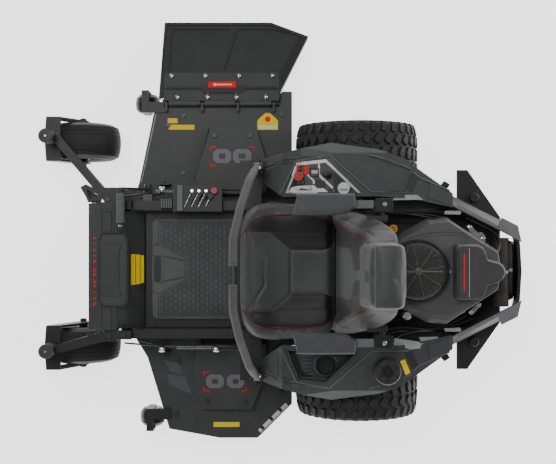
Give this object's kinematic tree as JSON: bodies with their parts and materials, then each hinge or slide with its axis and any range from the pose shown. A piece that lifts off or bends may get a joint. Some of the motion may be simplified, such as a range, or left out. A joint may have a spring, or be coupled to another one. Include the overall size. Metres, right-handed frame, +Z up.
{
  "type": "zero turn mower",
  "caption": "Ride-on zero turn mower with a side-discharge cutting deck, a box-tube frame, offset front casters, lap-bar steering, a bucket seat and a rear engine.",
  "frame": {"origin": "on the ground, under the middle of the whole machine's box", "axes": "+X to the machine's rear, +Y to its right (the discharge side), +Z up"},
  "size_m": [2.057, 1.877, 1.1],
  "materials": {
    "armrest_vinyl": "self-skinned urethane foam",
    "axle_steel": "bare turned steel",
    "battery_case": "polypropylene",
    "belt_rubber": "wrapped belt",
    "blade_steel": "hardened steel, dark",
    "bolt_steel": "bright zinc-plated steel",
    "cast_aluminium": "as-cast",
    "chute_rubber": "moulded rubber, matt",
    "cover_plastic": "moulded, fine texture",
    "deck_steel": "textured charcoal powder coat",
    "dipstick_yellow": "moulded yellow",
    "engine_plastic": "moulded, fine texture",
    "fender_plastic": "moulded, leather-grain texture",
    "footrest_plastic": "moulded, fine texture",
    "frame_steel": "fine-textured black powder coat",
    "grip_foam": "closed-cell foam on black steel tube",
    "knob_black": "moulded black",
    "knob_red": "moulded red",
    "mat_rubber": "moulded rubber, matt",
    "muffler_steel": "heat-resistant black",
    "panel_plastic": "moulded light grey",
    "rim_paint": "satin black",
    "roller_plastic": "moulded nylon",
    "seat_vinyl": "grained grey and black vinyl",
    "switch_metal": "plated",
    "tray_plastic": "moulded black",
    "tyre_rubber": "matt tyre rubber"
  },
  "bodies": {
    "chassis": {"main_frame": "frame_steel", "front_frame": "frame_steel", "footrest": "footrest_plastic", "floor_pan": "frame_steel", "floor_mats": "mat_rubber", "battery": "battery_case", "right_fender": "fender_plastic", "control_panel": "panel_plastic", "left_fender": "fender_plastic", "cup_tray": "tray_plastic", "rear_guard": "frame_steel", "frame_bolts": "bolt_steel", "engine_block": "cast_aluminium", "engine_shroud": "engine_plastic", "air_cleaner_cover": "cover_plastic", "muffler": "muffler_steel", "transaxles": "cast_aluminium", "lever_brackets": "frame_steel", "height_gate": "frame_steel"},
    "engine_rotor": {"crankshaft": "axle_steel"},
    "blade_clutch": {"clutch_pulley": "axle_steel"},
    "oil_dipstick": {"dipstick": "dipstick_yellow"},
    "deck": {"deck_shell": "deck_steel", "belt_covers": "deck_steel", "spindle_housings": "cast_aluminium", "deck_belt": "belt_rubber", "deck_brackets": "frame_steel", "deck_bolts": "bolt_steel"},
    "right_spindle": {"right_blade": "blade_steel"},
    "centre_spindle": {"centre_blade": "blade_steel"},
    "left_spindle": {"left_blade": "blade_steel"},
    "right_scalp_roller": {"right_roller": "roller_plastic"},
    "left_scalp_roller": {"left_roller": "roller_plastic"},
    "chute": {"chute_flap": "chute_rubber", "chute_bracket": "deck_steel"},
    "seat_base": {"seat_pan": "frame_steel"},
    "seat": {"seat_cushion": "seat_vinyl", "seat_back": "seat_vinyl"},
    "right_arm": {"right_armrest": "armrest_vinyl"},
    "left_arm": {"left_armrest": "armrest_vinyl"},
    "right_bar_base": {"right_lever_base": "frame_steel"},
    "right_bar": {"right_lever": "grip_foam"},
    "left_bar_base": {"left_lever_base": "frame_steel"},
    "left_bar": {"left_lever": "grip_foam"},
    "lift_pedal": {"foot_pedal": "frame_steel"},
    "lift_pin": {"height_pin": "knob_red"},
    "blade_switch": {"pto_knob": "knob_red"},
    "ignition": {"key_switch": "switch_metal"},
    "throttle": {"throttle_lever": "knob_black"},
    "tank_cap": {"fuel_cap": "knob_black"},
    "right_wheel": {"right_drive_tyre": "tyre_rubber", "right_drive_rim": "rim_paint"},
    "left_wheel": {"left_drive_tyre": "tyre_rubber", "left_drive_rim": "rim_paint"},
    "right_caster": {"right_caster_fork": "frame_steel"},
    "left_caster": {"left_caster_fork": "frame_steel"},
    "right_caster_wheel": {"right_caster_tyre": "tyre_rubber", "right_caster_rim": "rim_paint"},
    "left_caster_wheel": {"left_caster_tyre": "tyre_rubber", "left_caster_rim": "rim_paint"}
  },
  "joints": [
    {"name": "right_wheel_spin", "type": "hinge", "parent": "chassis", "child": "right_wheel", "pos_m": [0.3655, 0.3195, 0.268], "axis": [0, 1, 0], "continuous": true},
    {"name": "left_wheel_spin", "type": "hinge", "parent": "chassis", "child": "left_wheel", "pos_m": [0.3655, -0.6685, 0.268], "axis": [0, 1, 0], "continuous": true},
    {"name": "right_caster_swivel", "type": "hinge", "parent": "chassis", "child": "right_caster", "pos_m": [-0.9525, 0.3895, 0.354], "axis": [0, 0, 1], "continuous": true},
    {"name": "right_caster_spin", "type": "hinge", "parent": "right_caster", "child": "right_caster_wheel", "pos_m": [-0.8605, 0.3895, 0.168], "axis": [0, 1, 0], "continuous": true},
    {"name": "left_caster_swivel", "type": "hinge", "parent": "chassis", "child": "left_caster", "pos_m": [-0.9525, -0.5135, 0.354], "axis": [0, 0, 1], "continuous": true},
    {"name": "left_caster_spin", "type": "hinge", "parent": "left_caster", "child": "left_caster_wheel", "pos_m": [-0.8605, -0.5135, 0.168], "axis": [0, 1, 0], "continuous": true},
    {"name": "engine_spin", "type": "hinge", "parent": "chassis", "child": "engine_rotor", "pos_m": [0.5705, -0.1685, 0.7], "axis": [0, 0, 1], "continuous": true},
    {"name": "clutch_spin", "type": "hinge", "parent": "engine_rotor", "child": "blade_clutch", "pos_m": [0.5705, -0.1685, 0.207], "axis": [0, 0, 1], "continuous": true},
    {"name": "dipstick_pull", "type": "slide", "parent": "chassis", "child": "oil_dipstick", "axis": [0, 0, 1], "range_m": [0, 0.08]},
    {"name": "deck_lift", "type": "slide", "parent": "chassis", "child": "deck", "axis": [0, 0, 1], "range_m": [-0.04, 0.055], "deforming": ["deck_belt"]},
    {"name": "pedal_hinge", "type": "hinge", "parent": "chassis", "child": "lift_pedal", "pos_m": [-0.5395, 0.1685, 0.38], "axis": [0, 1, 0], "range_deg": [-14.5, 10.5]},
    {"name": "right_blade_spin", "type": "hinge", "parent": "deck", "child": "right_spindle", "pos_m": [-0.1845, 0.2955, 0.082], "axis": [0, 0, 1], "continuous": true},
    {"name": "centre_blade_spin", "type": "hinge", "parent": "deck", "child": "centre_spindle", "pos_m": [-0.3825, -0.1825, 0.082], "axis": [0, 0, 1], "continuous": true},
    {"name": "left_blade_spin", "type": "hinge", "parent": "deck", "child": "left_spindle", "pos_m": [-0.1845, -0.6605, 0.082], "axis": [0, 0, 1], "continuous": true},
    {"name": "right_roller_spin", "type": "hinge", "parent": "deck", "child": "right_scalp_roller", "pos_m": [-0.5765, 0.5725, 0.104], "axis": [0, 1, 0], "continuous": true},
    {"name": "left_roller_spin", "type": "hinge", "parent": "deck", "child": "left_scalp_roller", "pos_m": [-0.5545, -0.8565, 0.104], "axis": [0, 1, 0], "continuous": true},
    {"name": "chute_hinge", "type": "hinge", "parent": "deck", "child": "chute", "pos_m": [-0.5045, 0.5585, 0.212], "axis": [1, 0, 0], "range_deg": [0, 80]},
    {"name": "seat_tilt", "type": "hinge", "parent": "chassis", "child": "seat_base", "pos_m": [-0.0895, -0.1745, 0.486], "axis": [0, -1, 0], "range_deg": [0, 20]},
    {"name": "seat_slide", "type": "slide", "parent": "seat_base", "child": "seat", "axis": [1, 0, 0], "range_m": [-0.05, 0.02]},
    {"name": "right_armrest_lift", "type": "hinge", "parent": "seat", "child": "right_arm", "pos_m": [0.4255, 0.0935, 0.778], "axis": [0, 1, 0], "range_deg": [0, 85]},
    {"name": "right_bar_drive", "type": "hinge", "parent": "chassis", "child": "right_bar_base", "pos_m": [-0.0655, 0.2555, 0.56], "axis": [0, 1, 0], "range_deg": [-17, 13]},
    {"name": "right_bar_swing", "type": "hinge", "parent": "right_bar_base", "child": "right_bar", "pos_m": [-0.0655, 0.2555, 0.61], "axis": [-1, 0, 0], "range_deg": [0, 35]},
    {"name": "left_armrest_lift", "type": "hinge", "parent": "seat", "child": "left_arm", "pos_m": [0.4255, -0.4425, 0.778], "axis": [0, 1, 0], "range_deg": [0, 85]},
    {"name": "left_bar_drive", "type": "hinge", "parent": "chassis", "child": "left_bar_base", "pos_m": [-0.0655, -0.6045, 0.56], "axis": [0, 1, 0], "range_deg": [-17, 13]},
    {"name": "left_bar_swing", "type": "hinge", "parent": "left_bar_base", "child": "left_bar", "pos_m": [-0.0655, -0.6045, 0.61], "axis": [1, 0, 0], "range_deg": [0, 35]},
    {"name": "height_pin_pull", "type": "slide", "parent": "chassis", "child": "lift_pin", "axis": [0, 0, 1], "range_m": [0, 0.025]},
    {"name": "blade_switch_pull", "type": "slide", "parent": "chassis", "child": "blade_switch", "axis": [0, 0, 1], "range_m": [0, 0.012]},
    {"name": "key_turn", "type": "hinge", "parent": "chassis", "child": "ignition", "pos_m": [0.2855, 0.1635, 0.6], "axis": [0, 0, -1], "range_deg": [0, 60]},
    {"name": "throttle_swing", "type": "hinge", "parent": "chassis", "child": "throttle", "pos_m": [0.2155, 0.2215, 0.57], "axis": [0, 1, 0], "range_deg": [-15, 15]},
    {"name": "fuel_cap_turn", "type": "hinge", "parent": "chassis", "child": "tank_cap", "pos_m": [0.4615, -0.5765, 0.634], "axis": [0, 0, 1], "range_deg": [0, 180]}
  ],
  "couplings": [
    {"joint": "pedal_hinge", "follows": "deck_lift", "rad_per_m": -4.4427},
    {"joint": "clutch_spin", "follows": "centre_blade_spin", "ratio": 0.96774},
    {"joint": "right_blade_spin", "follows": "centre_blade_spin", "ratio": 1},
    {"joint": "left_blade_spin", "follows": "centre_blade_spin", "ratio": 1}
  ]
}
